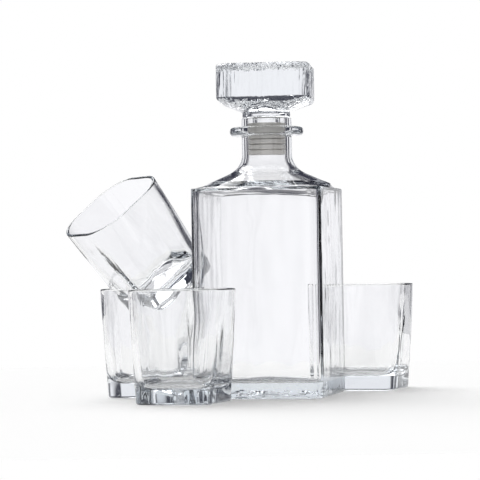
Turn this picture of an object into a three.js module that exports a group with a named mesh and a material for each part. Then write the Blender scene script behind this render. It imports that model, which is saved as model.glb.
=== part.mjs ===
// Square whiskey decanter with a ground-glass style stopper and four tumblers, one of them tipped
// into another's mouth. Millimetres, +Z up, +X to the right and +Y away from the viewer.
import * as THREE from 'three';

// Clearances
const CONTACT_GAP = 0.3; // left between pieces that touch
const STAND_GAP = 1.0; // between the bottle and the tumblers that stand close to it
const BACK_TUMBLER_GAP = 7.2; // between the bottle's left face and the back tumbler

// Bottle body: a square with faceted corners
const BODY_SIDE = 90;
const BODY_CUT = 5.4; // length that a corner facet takes off each side
const BODY_TURN = -12.5; // degrees about +Z
const SHOULDER_Z = 143;
const BODY_HEEL = 3.5;
const BODY_WALL = 3.2;
const BODY_BASE = 10.5;
const BODY_INNER_CORNER = 6.5;
const BODY_FLOOR_FILLET = 5;
const BODY_FLOOR_RISE = 3; // the floor's middle over its edge, and the hollow under it
const BODY_FLOOR_RADIUS = 32;
const BODY_PUNT_RADIUS = 33; // inner edge of the band that the bottle stands on

// Bottle shoulder, neck, flange and lip
const FLARE_FOOT_RADIUS = BODY_SIDE / 2 - 1.4;
const FLARE_FOOT_RISE = 3;
const SHOULDER_EDGE = 0.7;
const SHOULDER_INNER_DROP = 2.6;
const FLARE_WAIST_RADIUS = 27;
const FLARE_WAIST_RISE = 10.3;
const FLARE_TOP_RISE = 24;
const NECK_RADIUS = 17.4;
const BORE_RADIUS = 13.5;
const FLANGE_RADIUS = 25.5;
const FLANGE_LOW_Z = 179.8;
const FLANGE_THICK = 5.7;
const LIP_TOP_Z = 192;
const LIP_EDGE = 0.8;

// Stopper: faceted square head on a round stem
const HEAD_SIDE = 64.3;
const HEAD_CUT = 6.45;
const HEAD_TURN = -5;
const HEAD_LOW_RISE = 9.5; // from the lip to the head's lower edge
const HEAD_LOW_BEVEL = 2.6;
const HEAD_SIDE_HEIGHT = 22.8;
const HEAD_TOP_BEVEL_IN = 1.2;
const HEAD_TOP_BEVEL_UP = 1.4;
const COLLAR_RADIUS = 16.6;
const COLLAR_THICK = 3.6;
const STEM_RADIUS = 9.5;

// Ribbed seal sleeve on the stem
const SEAL_TOP_DROP = 3.6; // below the lip
const SEAL_LENGTH = 22.6;
const SEAL_RIBS = 6;
const SEAL_BODY_RADIUS = 12.1;

// Tumblers: square base softening into a rounder rim
const TUMBLER_HEIGHT = 75.4;
const TUMBLER_RIM_SIDE = 66.6;
const TUMBLER_RIM_CORNER = 24;
const TUMBLER_BASE_SIDE = 53.4;
const TUMBLER_BASE_CORNER = 9.6;
const TUMBLER_FLARE_POWER = 1.15;
const TUMBLER_RIM_WALL = 2.2;
const TUMBLER_FOOT_WALL = 4.2;
const TUMBLER_BASE = 10;
const TUMBLER_HEEL = 2.4;
const TUMBLER_FLOOR_FILLET = 9;
const TUMBLER_RECESS_RADIUS = 18.5;
const TUMBLER_RECESS_DEPTH = 1.5;
const MIN_CORNER = 4; // tightest inside corner

// Places, measured along the bottle's faces from their middles
const FRONT_TUMBLER_ALONG = -41.5;
const FRONT_TUMBLER_TURN = -18.7;
const BACK_TUMBLER_ALONG = 1.2;
const BACK_TUMBLER_TURN = -10.9;
const RIGHT_TUMBLER_ALONG = 52.5;
const RIGHT_TUMBLER_TURN = -17.8;

// Tipped tumbler: its axis leans from upright towards a compass heading in plan
const TILT_LEAN = 38.5;
const TILT_HEADING = 213.7;
const TILT_SPIN = 35.5;
const TILT_ALONG = 11; // its base centre, along the bottle's left face

const rad = THREE.MathUtils.degToRad;

// Ring angles for a square whose corner spans from cornerAngle to its mirror about 45 degrees.
function ringAngles(cornerAngle, flatSteps, cornerSteps) {
  const angles = [];
  for (let quarter = 0; quarter < 4; quarter += 1) {
    const middle = (quarter * Math.PI) / 2;
    for (let i = 0; i < flatSteps; i += 1) {
      angles.push(middle - cornerAngle + (2 * cornerAngle * i) / flatSteps);
    }
    const span = Math.PI / 2 - 2 * cornerAngle;
    for (let i = 0; i < cornerSteps; i += 1) {
      angles.push(middle + cornerAngle + (span * i) / cornerSteps);
    }
  }
  return angles;
}

function roundRing(z, radius) {
  return { z, reach: () => radius };
}

function facetRing(z, side, cut) {
  const reach = (angle) => {
    const c = Math.abs(Math.cos(angle));
    const s = Math.abs(Math.sin(angle));
    return Math.min(side / 2 / Math.max(c, s), (side - cut) / (c + s));
  };
  return { z, reach };
}

// Square with rounded corners, as the distance from its middle along an angle.
function softRing(z, side, corner) {
  const core = side / 2 - corner;
  const reach = (angle) => {
    const c = Math.abs(Math.cos(angle));
    const s = Math.abs(Math.sin(angle));
    const flat = side / 2 / Math.max(c, s);
    if (Math.min(c, s) * flat <= core) {
      return flat;
    }
    const along = core * (c + s);
    return along + Math.sqrt(along * along - 2 * core * core + corner * corner);
  };
  return { z, reach };
}

// Closed skin through rings of equal point count. Open ends are closed by a middle point;
// a looped list joins its last ring to its first.
function loft(rings, angles, looped) {
  const points = [];
  const faces = [];
  const count = angles.length;
  for (const ring of rings) {
    for (const angle of angles) {
      const reach = ring.reach(angle);
      points.push(reach * Math.cos(angle), reach * Math.sin(angle), ring.z);
    }
  }
  const bands = looped ? rings.length : rings.length - 1;
  for (let band = 0; band < bands; band += 1) {
    const low = band * count;
    const high = ((band + 1) % rings.length) * count;
    for (let i = 0; i < count; i += 1) {
      const next = (i + 1) % count;
      faces.push(low + i, low + next, high + next);
      faces.push(low + i, high + next, high + i);
    }
  }
  if (!looped) {
    const first = points.length / 3;
    points.push(0, 0, rings[0].z);
    const last = first + 1;
    points.push(0, 0, rings[rings.length - 1].z);
    const top = (rings.length - 1) * count;
    for (let i = 0; i < count; i += 1) {
      const next = (i + 1) % count;
      faces.push(first, next, i);
      faces.push(last, top + i, top + next);
    }
  }
  const geometry = new THREE.BufferGeometry();
  geometry.setAttribute('position', new THREE.Float32BufferAttribute(points, 3));
  geometry.setIndex(faces);
  geometry.computeVertexNormals();
  return geometry;
}

// Shoulder: a straight cone from its foot to the waist, then a bend into the upright neck.
function flareProfile(inset, drop) {
  const slope = (FLARE_WAIST_RISE - FLARE_FOOT_RISE) / (FLARE_FOOT_RADIUS - FLARE_WAIST_RADIUS);
  const bendRise = FLARE_WAIST_RISE + slope * (FLARE_WAIST_RADIUS - NECK_RADIUS);
  const profile = [[FLARE_FOOT_RADIUS - inset, SHOULDER_Z + FLARE_FOOT_RISE - drop]];
  const steps = 5;
  for (let i = 0; i <= steps; i += 1) {
    const t = i / steps;
    const keep = (1 - t) * (1 - t);
    const bend = 2 * t * (1 - t);
    const radius = keep * FLARE_WAIST_RADIUS + (bend + t * t) * NECK_RADIUS;
    const rise = keep * FLARE_WAIST_RISE + bend * bendRise + t * t * FLARE_TOP_RISE;
    profile.push([radius - inset, SHOULDER_Z + rise - drop]);
  }
  return profile;
}

// Height of the bottle's raised floor, and of the hollow under it, at a share of its radius.
function floorRise(share) {
  return BODY_FLOOR_RISE * (1 - share * share);
}

function bottleGeometry() {
  const rings = [];
  const round = (radius, z) => rings.push(roundRing(z, radius));
  const facet = (inset, z) => rings.push(facetRing(z, BODY_SIDE - 2 * inset, BODY_CUT));
  const riseShares = [0.25, 0.6, 0.85, 1];
  for (const share of riseShares) {
    round(BODY_PUNT_RADIUS * share, floorRise(share));
  }
  for (const angle of [0, 30, 60, 90]) {
    const inset = BODY_HEEL * (1 - Math.sin(rad(angle)));
    facet(inset, BODY_HEEL * (1 - Math.cos(rad(angle))));
  }
  facet(0, SHOULDER_Z - SHOULDER_EDGE);
  facet(SHOULDER_EDGE, SHOULDER_Z);
  for (const [radius, z] of flareProfile(0, 0)) {
    round(radius, z);
  }
  const flangeTop = FLANGE_LOW_Z + FLANGE_THICK;
  const flangeEdge = FLANGE_THICK * 0.3;
  round(NECK_RADIUS, FLANGE_LOW_Z);
  round(FLANGE_RADIUS - flangeEdge, FLANGE_LOW_Z);
  round(FLANGE_RADIUS, FLANGE_LOW_Z + flangeEdge);
  round(FLANGE_RADIUS, flangeTop - flangeEdge);
  round(FLANGE_RADIUS - flangeEdge, flangeTop);
  round(NECK_RADIUS, flangeTop);
  round(NECK_RADIUS, LIP_TOP_Z - LIP_EDGE);
  round(NECK_RADIUS - LIP_EDGE, LIP_TOP_Z);
  round(BORE_RADIUS + LIP_EDGE, LIP_TOP_Z);
  round(BORE_RADIUS, LIP_TOP_Z - LIP_EDGE);
  const flareDrop = BODY_WALL * 0.8;
  for (const [radius, z] of flareProfile(NECK_RADIUS - BORE_RADIUS, flareDrop).reverse()) {
    round(radius, z);
  }
  const inside = BODY_SIDE - 2 * BODY_WALL;
  const soft = (inset, z) => {
    rings.push(softRing(z, inside - 2 * inset, Math.max(BODY_INNER_CORNER - inset * 0.3, MIN_CORNER)));
  };
  soft(0, SHOULDER_Z + FLARE_FOOT_RISE - flareDrop - SHOULDER_INNER_DROP);
  for (const angle of [90, 60, 30, 0]) {
    const inset = BODY_FLOOR_FILLET * (1 - Math.sin(rad(angle)));
    soft(inset, BODY_BASE + BODY_FLOOR_FILLET * (1 - Math.cos(rad(angle))));
  }
  for (const share of riseShares.slice().reverse()) {
    round(BODY_FLOOR_RADIUS * share, BODY_BASE + floorRise(share));
  }
  const cornerAngle = Math.atan((BODY_SIDE / 2 - BODY_CUT) / (BODY_SIDE / 2));
  return loft(rings, ringAngles(cornerAngle, 8, 2), false);
}

function stopperGeometry() {
  const rings = [];
  const round = (radius, z) => rings.push(roundRing(z, radius));
  const facet = (inset, z) => rings.push(facetRing(z, HEAD_SIDE - 2 * inset, HEAD_CUT));
  const collarLow = LIP_TOP_Z + CONTACT_GAP;
  const headLow = LIP_TOP_Z + HEAD_LOW_RISE;
  const sideLow = headLow + HEAD_LOW_BEVEL;
  const sideHigh = sideLow + HEAD_SIDE_HEIGHT;
  const stemLow = LIP_TOP_Z - SEAL_TOP_DROP - SEAL_LENGTH;
  round(STEM_RADIUS - 1, stemLow);
  round(STEM_RADIUS, stemLow + 1);
  round(STEM_RADIUS, collarLow);
  round(COLLAR_RADIUS - 0.6, collarLow);
  round(COLLAR_RADIUS, collarLow + 0.6);
  round(COLLAR_RADIUS, collarLow + COLLAR_THICK);
  facet(HEAD_LOW_BEVEL, headLow);
  facet(0, sideLow);
  facet(0, sideHigh);
  facet(HEAD_TOP_BEVEL_IN, sideHigh + HEAD_TOP_BEVEL_UP);
  const cornerAngle = Math.atan((HEAD_SIDE / 2 - HEAD_CUT) / (HEAD_SIDE / 2));
  return loft(rings, ringAngles(cornerAngle, 6, 2), false);
}

function sealGeometry() {
  const top = LIP_TOP_Z - SEAL_TOP_DROP;
  const low = top - SEAL_LENGTH;
  const pitch = SEAL_LENGTH / SEAL_RIBS;
  const ribRadius = BORE_RADIUS - CONTACT_GAP;
  const inner = STEM_RADIUS + CONTACT_GAP;
  const rings = [roundRing(low, inner)];
  for (let rib = 0; rib < SEAL_RIBS; rib += 1) {
    const z = low + rib * pitch;
    rings.push(roundRing(z, SEAL_BODY_RADIUS));
    rings.push(roundRing(z + pitch * 0.3, ribRadius));
    rings.push(roundRing(z + pitch * 0.6, ribRadius));
  }
  rings.push(roundRing(top, SEAL_BODY_RADIUS));
  rings.push(roundRing(top, inner));
  return loft(rings, ringAngles(Math.PI / 5, 6, 3), true);
}

// Outside of a tumbler at a height: the side and corner radius of its soft square.
function tumblerOutside(z) {
  const t = THREE.MathUtils.clamp(z / TUMBLER_HEIGHT, 0, 1);
  const grow = 1 - (1 - t) ** TUMBLER_FLARE_POWER;
  return {
    side: TUMBLER_BASE_SIDE + (TUMBLER_RIM_SIDE - TUMBLER_BASE_SIDE) * grow,
    corner: TUMBLER_BASE_CORNER + (TUMBLER_RIM_CORNER - TUMBLER_BASE_CORNER) * grow,
  };
}

function tumblerWall(z) {
  const t = THREE.MathUtils.clamp(z / TUMBLER_HEIGHT, 0, 1);
  return TUMBLER_FOOT_WALL + (TUMBLER_RIM_WALL - TUMBLER_FOOT_WALL) * t;
}

function tumblerHeelInset(z) {
  const left = Math.max(TUMBLER_HEEL - z, 0) / TUMBLER_HEEL;
  return TUMBLER_HEEL * (1 - Math.sqrt(1 - left * left));
}

function tumblerRing(z, inset) {
  const { side, corner } = tumblerOutside(z);
  return softRing(z, side - 2 * inset, Math.max(corner - inset, MIN_CORNER));
}

function tumblerGeometry() {
  const rings = [];
  rings.push(roundRing(TUMBLER_RECESS_DEPTH, TUMBLER_RECESS_RADIUS - 1.5));
  rings.push(roundRing(0, TUMBLER_RECESS_RADIUS));
  for (const angle of [0, 35, 65, 90]) {
    const z = TUMBLER_HEEL * (1 - Math.cos(rad(angle)));
    rings.push(tumblerRing(z, tumblerHeelInset(z)));
  }
  const lip = TUMBLER_RIM_WALL / 2;
  for (const share of [0.3, 0.55, 0.8]) {
    rings.push(tumblerRing(TUMBLER_HEIGHT * share, 0));
  }
  rings.push(tumblerRing(TUMBLER_HEIGHT - lip, 0));
  rings.push(tumblerRing(TUMBLER_HEIGHT - lip * 0.3, lip * 0.3));
  rings.push(tumblerRing(TUMBLER_HEIGHT, lip));
  rings.push(tumblerRing(TUMBLER_HEIGHT - lip * 0.3, lip * 1.7));
  const filletTop = TUMBLER_BASE + TUMBLER_FLOOR_FILLET;
  for (const z of [TUMBLER_HEIGHT - lip, TUMBLER_HEIGHT * 0.7, TUMBLER_HEIGHT * 0.45]) {
    rings.push(tumblerRing(z, tumblerWall(z)));
  }
  for (const angle of [90, 60, 35, 0]) {
    const inset = TUMBLER_FLOOR_FILLET * (1 - Math.sin(rad(angle)));
    const z = filletTop - TUMBLER_FLOOR_FILLET * Math.cos(rad(angle));
    rings.push(tumblerRing(z, tumblerWall(z) + inset));
  }
  return loft(rings, ringAngles(rad(32), 5, 5), false);
}

// Half width of a tumbler's rim seen along a direction that its own sides make an angle with.
function rimReach(angle) {
  const core = TUMBLER_RIM_SIDE / 2 - TUMBLER_RIM_CORNER;
  return core * (Math.abs(Math.cos(angle)) + Math.abs(Math.sin(angle))) + TUMBLER_RIM_CORNER;
}

function turnAbout(degrees) {
  return new THREE.Matrix4().makeRotationZ(rad(degrees));
}

// A standing tumbler's place: beside a face of the bottle, named by the way the face looks.
function besideFace(outward, along, gap, turn) {
  const out = BODY_SIDE / 2 + gap + rimReach(rad(turn - BODY_TURN));
  const sideways = new THREE.Vector3(Math.abs(outward.y), Math.abs(outward.x), 0);
  const place = outward.clone().multiplyScalar(out).addScaledVector(sideways, along);
  place.applyMatrix4(turnAbout(BODY_TURN));
  const matrix = turnAbout(turn);
  matrix.setPosition(place);
  return matrix;
}

// True when a point of the tipped tumbler is clear of a standing one, in the standing one's frame.
function clearOfTumbler(point) {
  if (point.z >= TUMBLER_HEIGHT + CONTACT_GAP) {
    return true;
  }
  const { side, corner } = tumblerOutside(point.z);
  const x = Math.abs(point.x) - (side / 2 - corner);
  const y = Math.abs(point.y) - (side / 2 - corner);
  const beyond = Math.hypot(Math.max(x, 0), Math.max(y, 0));
  const distance = beyond + Math.min(Math.max(x, y), 0) - corner;
  return distance >= CONTACT_GAP || distance <= -(tumblerWall(point.z) + CONTACT_GAP);
}

// Points over a tumbler's outside, for laying it against its neighbours.
function tumblerSkin() {
  const points = [];
  const angles = ringAngles(rad(32), 10, 12);
  const levels = 40;
  for (let level = 0; level <= levels; level += 1) {
    const z = (TUMBLER_HEIGHT * level) / levels;
    const ring = tumblerRing(z, tumblerHeelInset(z));
    for (const angle of angles) {
      const reach = ring.reach(angle);
      points.push(new THREE.Vector3(reach * Math.cos(angle), reach * Math.sin(angle), z));
    }
  }
  const foot = tumblerRing(0, TUMBLER_HEEL);
  for (const share of [0.7, 0.85]) {
    for (const angle of angles) {
      const reach = foot.reach(angle) * share;
      points.push(new THREE.Vector3(reach * Math.cos(angle), reach * Math.sin(angle), 0));
    }
  }
  return points;
}

// The tipped tumbler leans on the bottle's left face and is lowered until it meets the rim below it.
function tippedPlace(standing) {
  const heading = rad(TILT_HEADING);
  const hinge = new THREE.Vector3(-Math.sin(heading), Math.cos(heading), 0);
  const tilt = new THREE.Matrix4().makeRotationAxis(hinge, rad(TILT_LEAN));
  const pose = tilt.multiply(turnAbout(TILT_SPIN));
  const skin = tumblerSkin().map((point) => point.applyMatrix4(pose));
  const outward = new THREE.Vector3(-1, 0, 0).applyMatrix4(turnAbout(BODY_TURN));
  const along = new THREE.Vector3(0, 1, 0).applyMatrix4(turnAbout(BODY_TURN));
  const nearest = Math.min(...skin.map((point) => point.dot(outward)));
  const place = outward.multiplyScalar(BODY_SIDE / 2 + CONTACT_GAP - nearest);
  place.addScaledVector(along, TILT_ALONG);
  const toStanding = standing.clone().invert();
  const shifted = new THREE.Vector3();
  const isClear = (height) => skin.every((point) => {
    shifted.copy(point).add(place);
    shifted.z += height;
    return clearOfTumbler(shifted.applyMatrix4(toStanding));
  });
  let low = TUMBLER_BASE;
  let high = 2 * TUMBLER_HEIGHT;
  for (let step = 0; step < 24; step += 1) {
    const middle = (low + high) / 2;
    if (isClear(middle)) {
      high = middle;
    } else {
      low = middle;
    }
  }
  place.z = high;
  pose.setPosition(place);
  return pose;
}

const clearGlass = { color: 0xeef4f4, roughness: 0.05, metalness: 0, transparent: true, opacity: 0.4 };
const greyRubber = { color: 0xb9b6b0, roughness: 0.6, metalness: 0 };

function piece(name, geometry, matrix, look) {
  const mesh = new THREE.Mesh(geometry.applyMatrix4(matrix), new THREE.MeshStandardMaterial(look));
  mesh.name = name;
  return mesh;
}

const left = new THREE.Vector3(-1, 0, 0);
const front = new THREE.Vector3(0, -1, 0);
const behind = new THREE.Vector3(0, 1, 0);
const frontPlace = besideFace(front, FRONT_TUMBLER_ALONG, STAND_GAP, FRONT_TUMBLER_TURN);
const backPlace = besideFace(left, BACK_TUMBLER_ALONG, BACK_TUMBLER_GAP, BACK_TUMBLER_TURN);
const rightPlace = besideFace(behind, RIGHT_TUMBLER_ALONG, STAND_GAP, RIGHT_TUMBLER_TURN);

const group = new THREE.Group();
group.name = 'decanter_set';
group.add(piece('bottle', bottleGeometry(), turnAbout(BODY_TURN), clearGlass));
group.add(piece('stopper', stopperGeometry(), turnAbout(HEAD_TURN), clearGlass));
group.add(piece('stopper_seal', sealGeometry(), turnAbout(HEAD_TURN), greyRubber));
group.add(piece('front_tumbler', tumblerGeometry(), frontPlace, clearGlass));
group.add(piece('back_tumbler', tumblerGeometry(), backPlace, clearGlass));
group.add(piece('right_tumbler', tumblerGeometry(), rightPlace, clearGlass));
group.add(piece('tilted_tumbler', tumblerGeometry(), tippedPlace(backPlace), clearGlass));

// The frame's origin is the middle of the set's bounding box, at its bottom.
const bounds = new THREE.Box3().setFromObject(group);
const middle = bounds.getCenter(new THREE.Vector3());
for (const mesh of group.children) {
  mesh.geometry.translate(-middle.x, -middle.y, -bounds.min.z);
}

export default group;
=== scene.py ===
import math

import bpy
from mathutils import Matrix, Vector, noise


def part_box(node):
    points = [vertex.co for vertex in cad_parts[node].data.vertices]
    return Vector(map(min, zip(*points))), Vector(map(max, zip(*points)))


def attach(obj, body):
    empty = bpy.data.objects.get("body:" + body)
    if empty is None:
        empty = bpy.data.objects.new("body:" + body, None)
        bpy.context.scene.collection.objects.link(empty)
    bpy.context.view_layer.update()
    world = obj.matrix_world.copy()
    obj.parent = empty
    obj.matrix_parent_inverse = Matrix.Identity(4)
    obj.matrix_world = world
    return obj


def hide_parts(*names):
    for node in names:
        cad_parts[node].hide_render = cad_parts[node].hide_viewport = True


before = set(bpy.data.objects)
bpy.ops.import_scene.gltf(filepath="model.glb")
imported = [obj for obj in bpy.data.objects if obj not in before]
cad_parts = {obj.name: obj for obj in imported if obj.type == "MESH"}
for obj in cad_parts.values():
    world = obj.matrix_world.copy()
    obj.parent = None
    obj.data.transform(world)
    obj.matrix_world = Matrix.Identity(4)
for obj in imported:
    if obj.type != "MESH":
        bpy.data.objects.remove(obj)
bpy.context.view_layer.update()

MM = 0.001

# Sizes in millimetres and degrees, as in the part's source, apart from those with a comment.
BODY_SIDE = 90
BODY_CUT = 5.4
BODY_TURN = -12.5
BODY_HEEL = 3.5
BODY_WALL = 3.2
BODY_BASE = 10.5
BODY_INNER_CORNER = 6.5
BODY_FLOOR_FILLET = 5
BODY_FLOOR_RISE = 3
BODY_FLOOR_RADIUS = 32
BODY_PUNT_RADIUS = 33
SHOULDER_Z = 143
SHOULDER_EDGE = 1.1  # rounder than the CAD's 0.7
SHOULDER_INNER_DROP = 2.6
FLARE_FOOT_RADIUS = 43.6
FLARE_FOOT_RISE = 3
FLARE_WAIST_RADIUS = 27
FLARE_WAIST_RISE = 10.3
FLARE_TOP_RISE = 24
NECK_RADIUS = 17.4
BORE_RADIUS = 13.5
FLANGE_RADIUS = 25.5
FLANGE_LOW_Z = 179.8
FLANGE_THICK = 5.7
LIP_TOP_Z = 192
CONTACT_GAP = 0.3

HEAD_SIDE = 64.3
HEAD_CUT = 6.45
HEAD_TURN = -5
HEAD_LOW_RISE = 9.5
HEAD_LOW_BEVEL = 2.6
HEAD_SIDE_HEIGHT = 22.8
HEAD_TOP_BEVEL_IN = 1.2
HEAD_TOP_BEVEL_UP = 1.38  # 0.02 less than the CAD's, to stay inside it
COLLAR_RADIUS = 16.6
COLLAR_THICK = 3.6
STEM_RADIUS = 9.5
HEAD_SHARPNESS = 60  # rounds the edges of the head's facets

SEAL_TOP_DROP = 3.6
SEAL_LENGTH = 22.6
SEAL_RIBS = 6
SEAL_BODY_RADIUS = 11  # the grooves are drawn 1.1 mm deeper than the CAD's
SEAL_STEPS = 96  # round the sleeve

TUMBLER_HEIGHT = 75.4
TUMBLER_RIM_SIDE = 66.6
TUMBLER_RIM_CORNER = 24
TUMBLER_BASE_SIDE = 53.4
TUMBLER_BASE_CORNER = 9.6
TUMBLER_FLARE_POWER = 1.15
TUMBLER_RIM_WALL = 2.2
TUMBLER_FOOT_WALL = 4.2
TUMBLER_BASE = 10
TUMBLER_HEEL = 2.4
TUMBLER_FLOOR_FILLET = 9
TUMBLER_RECESS_RADIUS = 18.5
TUMBLER_RECESS_DEPTH = 1.5

TUMBLER_TURNS = {"front_tumbler": -18.7, "back_tumbler": -10.9, "right_tumbler": -17.8}
TILT_LEAN = 38.5
TILT_HEADING = 213.7
TILT_SPIN = 35.5

# The body that each CAD node rides on.
NODE_BODY = {"bottle": "bottle", "stopper": "stopper", "stopper_seal": "seal",
             "front_tumbler": "front_tumbler", "back_tumbler": "back_tumbler",
             "right_tumbler": "right_tumbler", "tilted_tumbler": "tilted_tumbler"}

# Pressing leaves the inside of a wall very slightly uneven. The stopper's sides are streaked, its top is
# dimpled and its lower edge is wavy. The bottle's underside and heel are stippled. In millimetres.
BODY_RIPPLE = 0.2
TUMBLER_RIPPLE = 0.5
RIPPLE_WIDTH = 10
RIPPLE_LENGTH = 30
RIM_CALM = 18  # over which a tumbler's ripple dies away to the rim
STREAK_HEIGHT = 1.2
STREAK_WIDTH = 3
STREAK_LENGTH = 26
DIMPLE_DEPTH = 4.5
DIMPLE_LENGTH = 2.6
STIPPLE_DEPTH = 2.2
STIPPLE_LENGTH = 2.4
STIPPLE_BAND = 10  # up the bottle's outside, where the stipple dies away
STIPPLE_SIDE_DEPTH = 1
EDGE_WAVE_HEIGHT = 1.2
EDGE_WAVE_LENGTH = 8
SKIN_INSET = 0.2  # keeps the smooth tumblers inside the CAD's

# Camera of the photograph, from the decanter's axis, in millimetres and radians.
CAMERA_DISTANCE = 1600
CAMERA_HEIGHT = 91.9
CAMERA_YAW = -0.0123
CAMERA_PITCH = 0.01
CAMERA_ROLL = 0.0172
CAMERA_FOCAL_PIXELS = 2310.3
PHOTO_PIXELS = 480
SENSOR_WIDTH = 36

# Patterns of the surfaces, in millimetres.
SKIN_RIPPLE_LENGTH = 16
SKIN_RIPPLE_HEIGHT = 0.4
POLISH_LENGTH = 9
SILICONE_CLOUD_LENGTH = 6
SILICONE_GRAIN_LENGTH = 0.5
SILICONE_GRAIN_HEIGHT = 0.05

# The tint that thick glass shows, and its density. The stopper's glass is the clearer.
GLASS_TINT = "#dfe5ea"
GLASS_CAST = 13
STOPPER_CAST = 7

# The white sweep round the set, as the glass bends and mirrors it. Each quarter turn has the same dark
# flags, in mirror image: the degrees at which white starts to fall, dark starts and ends, and white is back.
# The ceiling darkens between two heights of the unit direction.
FLAGS = ((23.5, 30, 40, 42), (48, 50, 84, 86))
CEILING_START = 0.1
CEILING_FULL = 0.21
SWEEP_WHITE = "#fcfcff"
FLAG_DARK = "#3c3d49"
SKY_PLAIN = "#bababa"
SKY_THROUGH_GLASS = "#f4f4f4"

# The table, in millimetres.
TABLE_REACH = 500
TABLE_DROP = 0.1
TABLE_WHITE = "#fbfbfb"
TABLE_PLAIN_SHARE = 0.2  # of plain white

# The key light: the strength of a sun, its width in degrees and the way that it shines.
KEY_STRENGTH = 2.05
KEY_WIDTH = 50
KEY_DIRECTION = (0.55, -1, -1.6)


def linear(hex_colour):
    """An sRGB hex value as a linear colour with alpha."""
    channels = [int(hex_colour[i:i + 2], 16) / 255 for i in (1, 3, 5)]
    return tuple(c / 12.92 if c <= 0.04045 else ((c + 0.055) / 1.055) ** 2.4 for c in channels) + (1.0,)


def add_node(tree, kind, inputs=None, **settings):
    """A node with its settings. An input is given a value, or the socket that feeds it."""
    node = tree.nodes.new(kind)
    for name, value in settings.items():
        setattr(node, name, value)
    for name, value in (inputs or {}).items():
        sockets = [s for i, s in enumerate(node.inputs) if s.enabled and name in (s.name, i)]
        if isinstance(value, bpy.types.NodeSocket):
            tree.links.new(value, sockets[0])
        else:
            sockets[0].default_value = value
    return node


def new_material(name):
    material = bpy.data.materials.new(name)
    material.use_nodes = True
    material.node_tree.nodes.clear()
    return material, material.node_tree


def pressed_glass(name, cast_density):
    """Clear pressed soda-lime glass, fire polished: a bright smooth skin with a faint slow ripple, and a
    cool grey cast that shows only where the glass is thick."""
    material, tree = new_material(name)
    place = add_node(tree, "ShaderNodeTexCoord")
    ripple = add_node(tree, "ShaderNodeTexNoise", {
        "Vector": place.outputs["Object"], "Scale": 1 / (SKIN_RIPPLE_LENGTH * MM),
        "Detail": 1.0, "Roughness": 0.4})
    bump = add_node(tree, "ShaderNodeBump", {"Height": ripple.outputs["Fac"], "Strength": 0.25,
                                             "Distance": SKIN_RIPPLE_HEIGHT * MM})
    polish = add_node(tree, "ShaderNodeTexNoise", {
        "Vector": place.outputs["Object"], "Scale": 1 / (POLISH_LENGTH * MM), "Detail": 2.0})
    gloss = add_node(tree, "ShaderNodeMapRange", {"Value": polish.outputs["Fac"], "From Min": 0.45,
                                                  "From Max": 0.8, "To Min": 0.0, "To Max": 0.02})
    shader = add_node(tree, "ShaderNodeBsdfPrincipled", {
        "Base Color": linear("#ffffff"), "Roughness": gloss.outputs["Result"], "IOR": 1.52,
        "Transmission Weight": 1.0, "Normal": bump.outputs["Normal"]})
    cast = add_node(tree, "ShaderNodeVolumeAbsorption", {"Color": linear(GLASS_TINT),
                                                         "Density": cast_density})
    add_node(tree, "ShaderNodeOutputMaterial", {"Surface": shader.outputs["BSDF"],
                                                "Volume": cast.outputs["Volume"]})
    return material


def moulded_silicone():
    """Moulded translucent silicone: soft sheen, a milky grey body with painted light and shade (near white
    at the foot, as if lit through, and darker grey at the top), and a very fine matt grain.
    """
    material, tree = new_material("moulded_grey_silicone")
    place = add_node(tree, "ShaderNodeTexCoord")
    cloud = add_node(tree, "ShaderNodeTexNoise", {
        "Vector": place.outputs["Object"], "Scale": 1 / (SILICONE_CLOUD_LENGTH * MM), "Detail": 3.0})
    parts = add_node(tree, "ShaderNodeSeparateXYZ", {"Vector": place.outputs["Object"]})
    # Painted light and shade: the sleeve is painted near white at its foot, as if light shone through it,
    # and grows darker grey up to its top.
    foot = LIP_TOP_Z - SEAL_TOP_DROP - SEAL_LENGTH
    height = add_node(tree, "ShaderNodeMapRange", {"Value": parts.outputs["Z"], "From Min": foot * MM,
                                                   "From Max": (foot + SEAL_LENGTH) * MM})
    painted_light_and_shade = add_node(tree, "ShaderNodeMix", {"Factor": height.outputs["Result"], "A": linear("#fbf8f4"),
                                            "B": linear("#94928e")}, data_type="RGBA")
    tone = add_node(tree, "ShaderNodeMix", {"Factor": cloud.outputs["Fac"], "A": painted_light_and_shade.outputs["Result"],
                                            "B": linear("#f2f0ec")}, data_type="RGBA")
    grain = add_node(tree, "ShaderNodeTexNoise", {
        "Vector": place.outputs["Object"], "Scale": 1 / (SILICONE_GRAIN_LENGTH * MM)})
    bump = add_node(tree, "ShaderNodeBump", {"Height": grain.outputs["Fac"], "Strength": 0.15,
                                             "Distance": SILICONE_GRAIN_HEIGHT * MM})
    shader = add_node(tree, "ShaderNodeBsdfPrincipled", {
        "Base Color": tone.outputs["Result"], "Roughness": 0.5, "IOR": 1.41,
        "Normal": bump.outputs["Normal"]})
    add_node(tree, "ShaderNodeOutputMaterial", {"Surface": shader.outputs["BSDF"]})
    return material


def spread(low, high, steps):
    return [low + (high - low) * i / steps for i in range(steps + 1)]


def ring_angles(corner_start, flat_steps, corner_steps):
    """Angles round a square, close together where a corner turns."""
    start = math.radians(corner_start)
    angles = []
    for quarter in range(4):
        middle = quarter * math.pi / 2
        angles += spread(middle - start, middle + start, flat_steps)[:-1]
        angles += spread(middle + start, middle + math.pi / 2 - start, corner_steps)[:-1]
    return angles


def round_reach(radius):
    return lambda angle: radius


def facet_reach(side, cut, sharpness=110):
    """A square with faceted corners whose edges are a little rounded."""
    walls = []
    for k in range(4):
        walls.append((k * math.pi / 2, side / 2))
        walls.append((math.pi / 4 + k * math.pi / 2, (side - cut) / math.sqrt(2)))

    def reach(angle):
        total = 0
        for facing, distance in walls:
            total += max(math.cos(angle - facing), 0) ** sharpness * (side / 2 / distance) ** sharpness
        return side / 2 * total ** (-1 / sharpness)

    return reach


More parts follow.
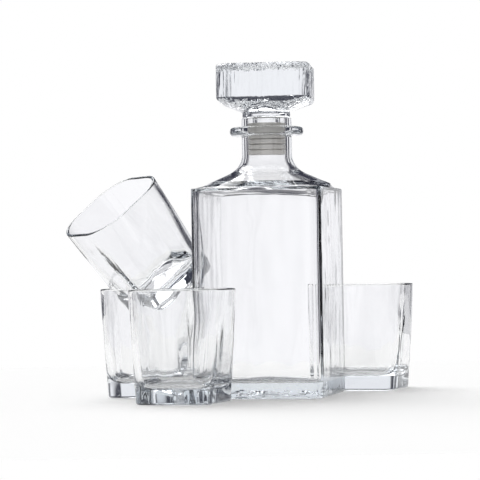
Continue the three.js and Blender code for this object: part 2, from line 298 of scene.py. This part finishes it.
def soft_reach(side, corner):
    """A square with rounded corners."""
    core = side / 2 - corner

    def reach(angle):
        c, s = abs(math.cos(angle)), abs(math.sin(angle))
        flat = side / 2 / max(c, s)
        if min(c, s) * flat <= core:
            return flat
        along = core * (c + s)
        return along + math.sqrt(along * along - 2 * core * core + corner * corner)

    return reach


def mixed_reach(first, second, share):
    return lambda angle: first(angle) * (1 - share) + second(angle) * share


def filleted(points, radii, steps=7):
    """A profile of (distance, height) points with each corner rounded by its radius."""
    result = [points[0]]
    for i in range(1, len(points) - 1):
        here, radius = Vector(points[i]), radii[i]
        back, on = Vector(points[i - 1]) - here, Vector(points[i + 1]) - here
        if radius == 0:
            result.append(points[i])
            continue
        half = back.angle(on) / 2
        reach = min(radius / math.tan(half), back.length * 0.49, on.length * 0.49)
        start, end = here + back.normalized() * reach, here + on.normalized() * reach
        for t in spread(0, 1, steps):
            result.append(tuple(start * (1 - t) ** 2 + here * 2 * t * (1 - t) + end * t * t))
    result.append(points[-1])
    return result


def divided(points, longest):
    """The profile with its long straight stretches cut into steps."""
    result = [points[0]]
    for a, b in zip(points, points[1:]):
        count = max(1, math.ceil(math.dist(a, b) / longest))
        result += [tuple(Vector(a).lerp(Vector(b), i / count)) for i in range(1, count + 1)]
    return result


def outward(point):
    return Vector((point.x, point.y, 0)).normalized()


def upright_noise(point, width, length):
    return noise.noise(Vector((point.x / width, point.y / width, point.z / length)))


def body_ripple(point):
    return outward(point) * upright_noise(point, RIPPLE_WIDTH, RIPPLE_LENGTH) * BODY_RIPPLE


def tumbler_ripple(point):
    calm = min(1, (TUMBLER_HEIGHT - point.z) / RIM_CALM)
    return outward(point) * upright_noise(point, RIPPLE_WIDTH, RIPPLE_LENGTH) * TUMBLER_RIPPLE * calm


def side_streak(point):
    return outward(point) * -abs(upright_noise(point, STREAK_WIDTH, STREAK_LENGTH)) * STREAK_HEIGHT


def edge_wave(point):
    flat = Vector((point.x, point.y, 0)) / EDGE_WAVE_LENGTH
    return side_streak(point) + Vector((0, 0, abs(noise.noise(flat)) * EDGE_WAVE_HEIGHT))


def top_dimple(point):
    return Vector((0, 0, -abs(noise.noise(point / DIMPLE_LENGTH)) * DIMPLE_DEPTH))


def base_stipple(point):
    return Vector((0, 0, abs(noise.noise(point / STIPPLE_LENGTH)) * STIPPLE_DEPTH))


def heel_stipple(point):
    depth = STIPPLE_SIDE_DEPTH * (1 - point.z / STIPPLE_BAND)
    return outward(point) * -abs(noise.noise(point / STIPPLE_LENGTH)) * depth


def lofted_piece(name, node, rings, angles, matrix, material):
    """One closed glass skin through rings of reach and height, standing for a CAD node. A ring's third
    item, where it has one, is the relief that shifts its points."""
    count = len(angles)
    vertices, faces = [], []
    for reach, height, *reliefs in rings:
        for angle in angles:
            distance = reach(angle)
            point = Vector((distance * math.cos(angle), distance * math.sin(angle), height))
            for relief in reliefs:
                point += relief(point)
            vertices.append(matrix @ (point * MM))
    for band in range(len(rings) - 1):
        low, high = band * count, (band + 1) * count
        for i in range(count):
            j = (i + 1) % count
            faces.append((low + i, low + j, high + j, high + i))
    first, last = len(vertices), len(vertices) + 1
    vertices.append(matrix @ Vector((0, 0, rings[0][1] * MM)))
    vertices.append(matrix @ Vector((0, 0, rings[-1][1] * MM)))
    top = (len(rings) - 1) * count
    for i in range(count):
        j = (i + 1) % count
        faces.append((first, j, i))
        faces.append((last, top + i, top + j))
    return finished_piece(name, node, vertices, faces, material)


def finished_piece(name, node, vertices, faces, material):
    mesh = bpy.data.meshes.new(name)
    mesh.from_pydata(vertices, [], faces)
    mesh.polygons.foreach_set("use_smooth", [True] * len(mesh.polygons))
    mesh.materials.append(material)
    mesh.update()
    piece = bpy.data.objects.new(name, mesh)
    bpy.context.scene.collection.objects.link(piece)
    weighted = piece.modifiers.new("even_shading", "WEIGHTED_NORMAL")
    weighted.weight = 80
    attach(piece, NODE_BODY[node])
    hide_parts(node)
    return piece


def node_middle(node):
    low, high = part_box(node)
    return (low + high) / 2


def standing_matrix(node, turn):
    middle = node_middle(node)
    return Matrix.Translation((middle.x, middle.y, 0)) @ Matrix.Rotation(math.radians(turn), 4, "Z")


def tilted_matrix():
    """The tipped tumbler's place: its CAD foot, and the lean, heading and spin of the source."""
    heading, lean = math.radians(TILT_HEADING), math.radians(TILT_LEAN)
    hinge = Vector((-math.sin(heading), math.cos(heading), 0))
    pose = Matrix.Rotation(lean, 4, hinge) @ Matrix.Rotation(math.radians(TILT_SPIN), 4, "Z")
    axis = pose.to_3x3() @ Vector((0, 0, 1))
    corners = [v.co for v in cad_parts["tilted_tumbler"].data.vertices]
    lowest = min(axis.dot(c) for c in corners)
    foot = [c for c in corners if axis.dot(c) < lowest + 0.05 * MM]
    return Matrix.Translation(sum(foot, Vector()) / len(foot)) @ pose


def flare_profile(inset, drop, steps):
    """The shoulder: a cone from its foot to the waist, then a bend into the upright neck."""
    slope = (FLARE_WAIST_RISE - FLARE_FOOT_RISE) / (FLARE_FOOT_RADIUS - FLARE_WAIST_RADIUS)
    bend_rise = FLARE_WAIST_RISE + slope * (FLARE_WAIST_RADIUS - NECK_RADIUS)
    points = [(FLARE_FOOT_RADIUS - inset, SHOULDER_Z + FLARE_FOOT_RISE - drop)]
    for t in spread(0, 1, steps):
        keep, bend = (1 - t) ** 2, 2 * t * (1 - t)
        radius = keep * FLARE_WAIST_RADIUS + (bend + t * t) * NECK_RADIUS
        rise = keep * FLARE_WAIST_RISE + bend * bend_rise + t * t * FLARE_TOP_RISE
        points.append((radius - inset, SHOULDER_Z + rise - drop))
    return points


def floor_rise(share):
    """Height of the bottle's raised floor, and of the hollow under it, at a share of its radius."""
    return BODY_FLOOR_RISE * (1 - share * share)


def make_bottle(glass):
    rings = []
    for share in spread(0.05, 1, 30):
        rings.append((round_reach(BODY_PUNT_RADIUS * share), floor_rise(share), base_stipple))
    heel_inset = BODY_HEEL * 1.6
    heel_foot = facet_reach(BODY_SIDE - 2 * heel_inset, BODY_CUT)
    for share in spread(0.08, 0.92, 9):
        rings.append((mixed_reach(round_reach(BODY_PUNT_RADIUS), heel_foot, share), 0, base_stipple))
    heel = filleted([(heel_inset, 0), (0, 0), (0, STIPPLE_BAND)], [0, BODY_HEEL, 0])
    for inset, height in divided(heel, 0.8):
        rings.append((facet_reach(BODY_SIDE - 2 * inset, BODY_CUT), height, heel_stipple))
    outside = filleted([(0, STIPPLE_BAND + 2), (0, SHOULDER_Z), (1.3, SHOULDER_Z)], [0, SHOULDER_EDGE, 0])
    for inset, height in divided(outside, 12):
        rings.append((facet_reach(BODY_SIDE - 2 * inset, BODY_CUT), height))
    flange_top = FLANGE_LOW_Z + FLANGE_THICK
    bore_drop = BODY_WALL * 0.8
    wall = NECK_RADIUS - BORE_RADIUS
    flare = flare_profile(0, 0, 12)
    upper = [(NECK_RADIUS, FLANGE_LOW_Z), (FLANGE_RADIUS, FLANGE_LOW_Z), (FLANGE_RADIUS, flange_top),
             (NECK_RADIUS, flange_top), (NECK_RADIUS, LIP_TOP_Z), (BORE_RADIUS, LIP_TOP_Z)]
    inner = flare_profile(wall, bore_drop, 12)[::-1]
    flange_fillets = [1.2, 2.7, 2.7, 0.8]
    lip_fillets = [1.3, 1.3]
    radii = [0] * len(flare) + flange_fillets + lip_fillets + [0] * len(inner)
    for radius, height in divided(filleted(flare + upper + inner, radii), 6):
        rings.append((round_reach(radius), height))
    inside = BODY_SIDE - 2 * BODY_WALL
    low_cone = round_reach(inner[-1][0])
    for share in (0.25, 0.5, 0.75, 0.92):
        height = inner[-1][1] - SHOULDER_INNER_DROP * share ** 2
        rings.append((mixed_reach(low_cone, soft_reach(inside, BODY_INNER_CORNER), share), height))
    floor_line = filleted([(0, inner[-1][1] - SHOULDER_INNER_DROP), (0, BODY_BASE), (7, BODY_BASE)],
                          [0, BODY_FLOOR_FILLET, 0], 10)
    for inset, height in divided(floor_line, 12):
        corner = max(BODY_INNER_CORNER - inset * 0.3, 5)
        rings.append((soft_reach(inside - 2 * inset, corner), height, body_ripple))
    for share in spread(1, 0.06, 16):
        rings.append((round_reach(BODY_FLOOR_RADIUS * share), BODY_BASE + floor_rise(share)))
    return lofted_piece("decanter_bottle", "bottle", rings, ring_angles(37, 44, 26),
                        standing_matrix("bottle", BODY_TURN), glass)


def make_stopper(glass):
    collar_low = LIP_TOP_Z + CONTACT_GAP
    head_low = LIP_TOP_Z + HEAD_LOW_RISE
    side_low = head_low + HEAD_LOW_BEVEL
    side_high = side_low + HEAD_SIDE_HEIGHT
    stem_low = LIP_TOP_Z - SEAL_TOP_DROP - SEAL_LENGTH
    collar_high = collar_low + COLLAR_THICK
    stem = [(STEM_RADIUS - 4, stem_low), (STEM_RADIUS, stem_low), (STEM_RADIUS, collar_low),
            (COLLAR_RADIUS, collar_low), (COLLAR_RADIUS, collar_high),
            (COLLAR_RADIUS + 1.5, collar_high + 0.6)]
    rings = []
    for radius, height in divided(filleted(stem, [0, 1.5, 0.4, 0.7, 0.5, 0]), 6):
        rings.append((round_reach(radius), height))
    top = side_high + HEAD_TOP_BEVEL_UP
    head = [(HEAD_LOW_BEVEL + 1, head_low - 0.25), (HEAD_LOW_BEVEL, head_low), (0, side_low),
            (0, side_high), (HEAD_TOP_BEVEL_IN, top), (HEAD_TOP_BEVEL_IN + 2, top)]
    for inset, height in divided(filleted(head, [0, 4, 4, 0.6, 0.6, 0]), 5):
        relief = edge_wave if height < side_low + 0.5 else side_streak
        outline = facet_reach(HEAD_SIDE - 2 * inset, HEAD_CUT * (1 - inset / HEAD_SIDE), HEAD_SHARPNESS)
        rings.append((outline, height, relief))
    for inset in spread(HEAD_TOP_BEVEL_IN + 2.6, HEAD_SIDE / 2 - 1.5, 40):
        outline = facet_reach(HEAD_SIDE - 2 * inset, HEAD_CUT * (1 - 2 * inset / HEAD_SIDE))
        rings.append((outline, top, top_dimple))
    return lofted_piece("stopper_glass", "stopper", rings, ring_angles(33, 48, 40),
                        standing_matrix("stopper", HEAD_TURN), glass)


def make_seal(silicone):
    """Ribbed sleeve: rings up the outside, over the top and down the bore, joined into a closed skin."""
    top = LIP_TOP_Z - SEAL_TOP_DROP
    low = top - SEAL_LENGTH
    pitch = SEAL_LENGTH / SEAL_RIBS
    rib = BORE_RADIUS - CONTACT_GAP
    bore = STEM_RADIUS + CONTACT_GAP
    groove, rise = pitch * 0.03, pitch * 0.12
    profile = [(bore, low)]
    for k in range(SEAL_RIBS):
        z = low + k * pitch
        profile += [(SEAL_BODY_RADIUS, z + groove), (rib, z + rise), (rib, z + pitch - rise),
                    (SEAL_BODY_RADIUS, z + pitch - groove)]
    profile += [(SEAL_BODY_RADIUS, top), (bore, top)]
    radii = [0] + [0.25] * (len(profile) - 2) + [0]
    line = filleted(profile, radii, 3)
    matrix = standing_matrix("stopper_seal", HEAD_TURN)
    vertices, faces = [], []
    for radius, height in line:
        for i in range(SEAL_STEPS):
            angle = 2 * math.pi * i / SEAL_STEPS
            point = Vector((radius * math.cos(angle), radius * math.sin(angle), height))
            vertices.append(matrix @ (point * MM))
    for band in range(len(line)):
        a, b = band * SEAL_STEPS, (band + 1) % len(line) * SEAL_STEPS
        for i in range(SEAL_STEPS):
            j = (i + 1) % SEAL_STEPS
            faces.append((a + i, a + j, b + j, b + i))
    return finished_piece("stopper_seal_sleeve", "stopper_seal", vertices, faces, silicone)


def tumbler_outside(height, inset):
    t = min(max(height / TUMBLER_HEIGHT, 0), 1)
    grow = 1 - (1 - t) ** TUMBLER_FLARE_POWER
    side = TUMBLER_BASE_SIDE + (TUMBLER_RIM_SIDE - TUMBLER_BASE_SIDE) * grow
    corner = TUMBLER_BASE_CORNER + (TUMBLER_RIM_CORNER - TUMBLER_BASE_CORNER) * grow
    return soft_reach(side - 2 * (inset + SKIN_INSET), max(corner - inset, 4))


def tumbler_wall(height):
    t = min(max(height / TUMBLER_HEIGHT, 0), 1)
    return TUMBLER_FOOT_WALL + (TUMBLER_RIM_WALL - TUMBLER_FOOT_WALL) * t


def make_tumbler(name, node, matrix, glass):
    rings = []
    recess = [(4, TUMBLER_RECESS_DEPTH), (TUMBLER_RECESS_RADIUS - 1.2, TUMBLER_RECESS_DEPTH),
              (TUMBLER_RECESS_RADIUS, 0), (TUMBLER_RECESS_RADIUS + 1, 0)]
    for radius, height in divided(filleted(recess, [0, 0.5, 0.4, 0], 5), 5):
        rings.append((round_reach(radius), height))
    rim = TUMBLER_RIM_WALL / 2
    heel_inset = TUMBLER_HEEL * 1.5
    outside = filleted([(heel_inset, 0), (0, 0), (0, TUMBLER_HEIGHT - rim)], [0, TUMBLER_HEEL, 0])
    for inset, height in divided(outside, 4):
        rings.append((tumbler_outside(height, inset), height))
    for angle in spread(0, math.pi, 12)[1:-1]:
        height = TUMBLER_HEIGHT - rim + rim * math.sin(angle)
        rings.append((tumbler_outside(height, rim - rim * math.cos(angle)), height))
    floor_inset = 19
    floor_line = filleted([(0, TUMBLER_HEIGHT - rim), (0, TUMBLER_BASE), (floor_inset, TUMBLER_BASE)],
                          [0, TUMBLER_FLOOR_FILLET, 0], 10)
    for inset, height in divided(floor_line, 4):
        rings.append((tumbler_outside(height, tumbler_wall(height) + inset), height, tumbler_ripple))
    return lofted_piece(name, node, rings, ring_angles(27, 10, 22), matrix, glass)


def bent_light(tree):
    """The kinds of ray, and whether glass has bent or mirrored this one."""
    rays = add_node(tree, "ShaderNodeLightPath")
    bent = add_node(tree, "ShaderNodeMath", {0: rays.outputs["Is Glossy Ray"],
                                             1: rays.outputs["Is Transmission Ray"]}, operation="MAXIMUM")
    return rays.outputs, bent.outputs[0]


def set_world():
    """A white room for the eye. What the glass bends or mirrors meets a white sweep of limited height,
    with dark upright flags in each quarter turn and a dark ceiling: they draw its edges. Matt surfaces are
    lit by a grey sky, and by a paler one through glass, so that the neck doesn't dim the seal inside it."""
    world = bpy.data.worlds.new("studio")
    bpy.context.scene.world = world
    world.use_nodes = True
    tree = world.node_tree
    tree.nodes.clear()
    facing = add_node(tree, "ShaderNodeTexCoord")
    parts = add_node(tree, "ShaderNodeSeparateXYZ", {"Vector": facing.outputs["Generated"]})
    turn = add_node(tree, "ShaderNodeMath", {0: parts.outputs["X"], 1: parts.outputs["Y"]},
                    operation="ARCTAN2")
    quarter = add_node(tree, "ShaderNodeMath", {0: turn.outputs[0], 1: math.pi / 2}, operation="PINGPONG")
    share = add_node(tree, "ShaderNodeMath", {0: quarter.outputs[0], 1: math.pi / 2}, operation="DIVIDE")
    sweep = add_node(tree, "ShaderNodeValToRGB", {"Fac": share.outputs[0]})
    stops = sweep.color_ramp.elements
    stops[0].color = (1, 1, 1, 1)
    for flag in FLAGS:
        for degrees, level in zip(flag, (1, 0, 0, 1)):
            stops.new(degrees / 90).color = (level, level, level, 1)
    ceiling = add_node(tree, "ShaderNodeMapRange", {
        "Value": parts.outputs["Z"], "From Min": CEILING_START, "From Max": CEILING_FULL,
        "To Min": 1.0, "To Max": 0.0}, interpolation_type="SMOOTHSTEP")
    lit = add_node(tree, "ShaderNodeMath", {0: sweep.outputs["Color"], 1: ceiling.outputs["Result"]},
                   operation="MULTIPLY")
    drawn = add_node(tree, "ShaderNodeMix", {"Factor": lit.outputs[0], "A": linear(FLAG_DARK),
                                             "B": linear(SWEEP_WHITE)}, data_type="RGBA")
    rays, bent = bent_light(tree)
    through = add_node(tree, "ShaderNodeMath", {0: bent, 1: rays["Diffuse Depth"]},
                       operation="SUBTRACT", use_clamp=True)
    sky = add_node(tree, "ShaderNodeMix", {"Factor": bent, "A": linear(SKY_PLAIN),
                                           "B": linear(SKY_THROUGH_GLASS)}, data_type="RGBA")
    plain = add_node(tree, "ShaderNodeMix", {"Factor": rays["Is Camera Ray"], "A": sky.outputs["Result"],
                                             "B": linear("#ffffff")}, data_type="RGBA")
    colour = add_node(tree, "ShaderNodeMix", {"Factor": through.outputs[0], "A": plain.outputs["Result"],
                                              "B": drawn.outputs["Result"]}, data_type="RGBA")
    light = add_node(tree, "ShaderNodeBackground", {"Color": colour.outputs["Result"], "Strength": 1.0})
    add_node(tree, "ShaderNodeOutputWorld", {"Surface": light.outputs["Background"]})


def white_card():
    """Matt white card for the table: even, with the soft shadow of what stands on it. A share of it is
    plain white, to the eye and in the glass, as in the photograph's cut-out ground."""
    material, tree = new_material("matt_white_card")
    rays, bent = bent_light(tree)
    shader = add_node(tree, "ShaderNodeBsdfPrincipled", {
        "Base Color": linear(TABLE_WHITE), "Roughness": 0.9, "Specular IOR Level": 0.0})
    white = add_node(tree, "ShaderNodeEmission", {"Color": linear("#ffffff"), "Strength": 1.0})
    seen = add_node(tree, "ShaderNodeMath", {0: rays["Is Camera Ray"], 1: bent}, operation="MAXIMUM")
    share = add_node(tree, "ShaderNodeMath", {0: seen.outputs[0], 1: TABLE_PLAIN_SHARE},
                     operation="MULTIPLY")
    ground = add_node(tree, "ShaderNodeMixShader", {"Fac": share.outputs[0], 1: shader.outputs["BSDF"],
                                                    2: white.outputs["Emission"]})
    add_node(tree, "ShaderNodeOutputMaterial", {"Surface": ground.outputs["Shader"]})
    return material


def set_floor():
    reach = TABLE_REACH * MM
    mesh = bpy.data.meshes.new("table")
    corners = [(-reach, -reach), (reach, -reach), (reach, reach), (-reach, reach)]
    mesh.from_pydata([(x, y, -TABLE_DROP * MM) for x, y in corners], [], [(0, 1, 2, 3)])
    mesh.materials.append(white_card())
    table = bpy.data.objects.new("table", mesh)
    bpy.context.scene.collection.objects.link(table)


def set_lamp():
    """One wide soft key light from above the left, behind the set: its shadow falls forward and right."""
    lamp = bpy.data.lights.new("soft_key", "SUN")
    lamp.energy = KEY_STRENGTH
    lamp.angle = math.radians(KEY_WIDTH)
    holder = bpy.data.objects.new("soft_key", lamp)
    bpy.context.scene.collection.objects.link(holder)
    holder.rotation_euler = Vector(KEY_DIRECTION).to_track_quat("-Z", "Y").to_euler()


def set_camera():
    axis = node_middle("bottle")
    stand = Vector((axis.x, axis.y - CAMERA_DISTANCE * MM, CAMERA_HEIGHT * MM))
    forward = Vector((math.sin(CAMERA_YAW) * math.cos(CAMERA_PITCH),
                      math.cos(CAMERA_YAW) * math.cos(CAMERA_PITCH), math.sin(CAMERA_PITCH)))
    level = forward.cross(Vector((0, 0, 1))).normalized()
    upright = level.cross(forward)
    c, s = math.cos(CAMERA_ROLL), math.sin(CAMERA_ROLL)
    right, up = level * c - upright * s, level * s + upright * c
    lens = bpy.data.cameras.new("camera")
    lens.sensor_width = SENSOR_WIDTH
    lens.lens = SENSOR_WIDTH * CAMERA_FOCAL_PIXELS / PHOTO_PIXELS
    lens.clip_start = 0.05
    holder = bpy.data.objects.new("camera", lens)
    bpy.context.scene.collection.objects.link(holder)
    turned = Matrix((right, up, -forward)).transposed().to_4x4()
    holder.matrix_world = Matrix.Translation(stand) @ turned
    bpy.context.scene.camera = holder


set_camera()
clear_glass = pressed_glass("pressed_soda_lime_glass", GLASS_CAST)
stopper_glass = pressed_glass("pressed_stopper_glass", STOPPER_CAST)
grey_silicone = moulded_silicone()
make_bottle(clear_glass)
make_stopper(stopper_glass)
make_seal(grey_silicone)
for tumbler, tumbler_turn in TUMBLER_TURNS.items():
    make_tumbler(tumbler + "_glass", tumbler, standing_matrix(tumbler, tumbler_turn), clear_glass)
make_tumbler("tilted_tumbler_glass", "tilted_tumbler", tilted_matrix(), clear_glass)
set_world()
set_floor()
set_lamp()

scene = bpy.context.scene
scene.view_settings.view_transform = "Standard"
scene.cycles.max_bounces = 40
scene.cycles.transmission_bounces = 40
scene.cycles.glossy_bounces = 16
